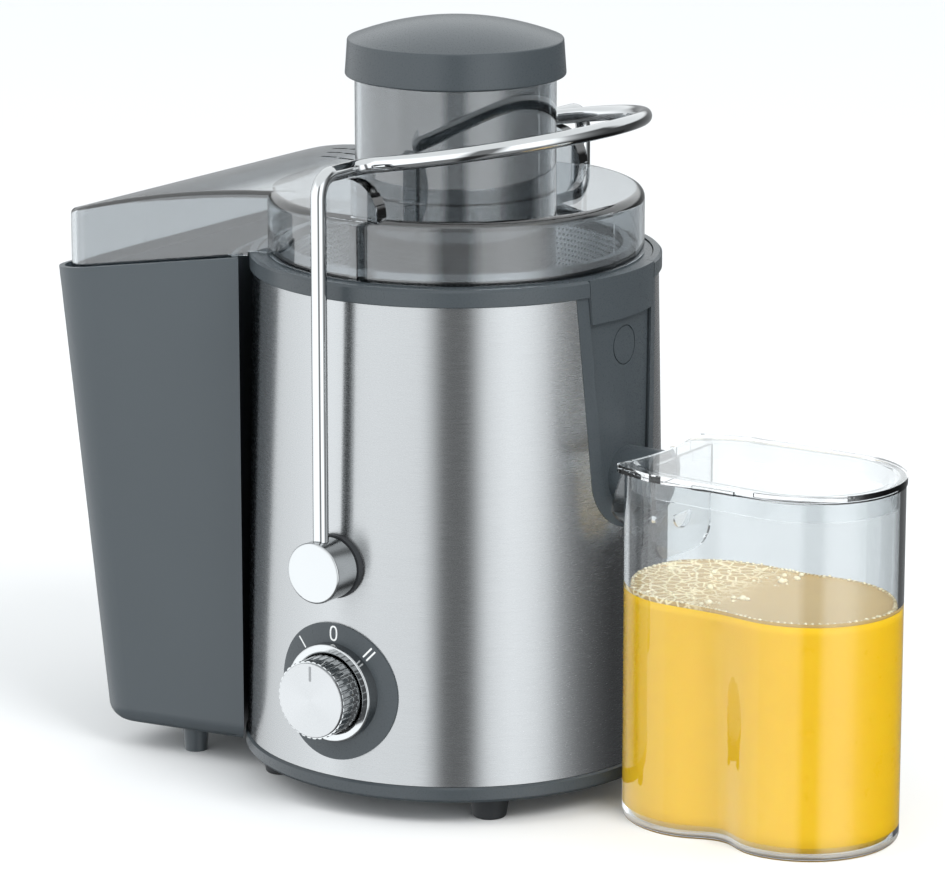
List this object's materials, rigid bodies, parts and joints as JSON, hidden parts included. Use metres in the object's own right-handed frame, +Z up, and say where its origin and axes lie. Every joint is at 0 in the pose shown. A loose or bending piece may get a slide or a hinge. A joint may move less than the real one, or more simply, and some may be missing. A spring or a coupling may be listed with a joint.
{
  "type": "centrifugal juicer",
  "caption": "Countertop centrifugal juicer: steel-clad round body, clear domed cover with feed chute and pusher, locking bail arm, pulp bin on one side and lidded juice jug on the other.",
  "frame": {"origin": "centre of the overall bounding box on the surface the juicer stands on, between the motor spindle and the jug", "axes": "+Z up along the motor spindle, +X towards the juice outlet and jug, -X towards the pulp bin, -Y towards the switch knob"},
  "size_m": [0.335, 0.1932, 0.2984],
  "materials": {
    "dark_plastic": "satin",
    "bin_plastic": "matte",
    "brushed_steel": "brushed",
    "rubber": "matte",
    "steel_hardware": "plain",
    "chrome_rod": "polished",
    "chrome_trim": "satin",
    "turned_aluminium": "turned",
    "knob_plating": "satin",
    "black_nylon": "matte",
    "cast_bracket": "cast",
    "core_steel": "laminated",
    "winding_copper": "enamelled",
    "basket_steel": "perforated",
    "smoke_clear": "clear smoke",
    "jug_clear": "clear"
  },
  "bodies": {
    "base": {"base_ring": "dark_plastic", "base_screws": "steel_hardware", "bottom_plate": "dark_plastic", "carbon_brushes": "core_steel", "cord_gland": "rubber", "cover": "smoke_clear", "dial_plate": "dark_plastic", "field_windings": "winding_copper", "foot_front_left": "rubber", "foot_front_right": "rubber", "foot_rear_left": "rubber", "foot_rear_right": "rubber", "housing_frame": "dark_plastic", "juice_bowl": "dark_plastic", "knob_collar": "chrome_trim", "lower_bearing": "steel_hardware", "motor_bolts": "steel_hardware", "motor_bracket_lower": "cast_bracket", "motor_bracket_upper": "cast_bracket", "motor_dampers": "rubber", "motor_deck": "dark_plastic", "pivot_bush_front": "black_nylon", "pivot_bush_rear": "black_nylon", "pivot_washer_front": "black_nylon", "pivot_washer_rear": "black_nylon", "pulp_bin": "bin_plastic", "rotary_switch": "black_nylon", "safety_switch": "black_nylon", "shaft_seal": "rubber", "spout_surround": "dark_plastic", "stator_core": "core_steel", "steel_skin": "brushed_steel", "top_ring": "dark_plastic", "upper_bearing": "steel_hardware"},
    "arm": {"arm_rod": "chrome_rod", "arm_boss_front": "chrome_trim", "arm_boss_rear": "chrome_trim", "pivot_pin_front": "steel_hardware", "pivot_pin_rear": "steel_hardware", "pivot_clips": "steel_hardware", "interlock_cam": "black_nylon"},
    "knob": {"knob_grip": "knob_plating", "knob_face": "turned_aluminium", "switch_shaft": "steel_hardware"},
    "rotor": {"motor_shaft": "steel_hardware", "rotor_core": "core_steel", "commutator": "winding_copper", "cooling_fan": "black_nylon", "drive_coupler": "black_nylon", "basket_base": "black_nylon", "filter_cone": "basket_steel", "basket_rim": "basket_steel", "grater_disc": "basket_steel"},
    "pusher": {"pusher_cap": "dark_plastic", "pusher_tube": "smoke_clear"},
    "jug": {"jug": "jug_clear"},
    "jug_lid": {"jug_lid": "jug_clear", "froth_separator": "jug_clear"},
    "plunger": {"switch_plunger": "black_nylon"}
  },
  "joints": [
    {"name": "arm_swing", "type": "hinge", "parent": "base", "child": "arm", "pos_m": [-0.02893, 0.00115, 0.099], "axis": [0, 1, 0], "range_deg": [0, 45]},
    {"name": "knob_turn", "type": "hinge", "parent": "base", "child": "knob", "pos_m": [-0.02893, -0.08385, 0.0496], "axis": [0, -1, 0], "range_deg": [-40, 40]},
    {"name": "spindle_spin", "type": "hinge", "parent": "base", "child": "rotor", "pos_m": [-0.02893, 0.00115, 0.09], "axis": [0, 0, 1], "continuous": true},
    {"name": "pusher_slide", "type": "slide", "parent": "base", "child": "pusher", "axis": [0, 0, 1], "range_m": [0, 0.115]},
    {"name": "jug_slide", "type": "slide", "parent": "base", "child": "jug", "axis": [1, 0, 0], "range_m": [0, 0.12]},
    {"name": "lid_lift", "type": "slide", "parent": "jug", "child": "jug_lid", "axis": [0, 0, 1], "range_m": [0, 0.04]},
    {"name": "plunger_slide", "type": "slide", "parent": "base", "child": "plunger", "axis": [0, 0, 1], "range_m": [0, 0.0015]}
  ],
  "couplings": [
    {"joint": "plunger_slide", "follows": "arm_swing", "m_per_rad": 0.0019}
  ]
}
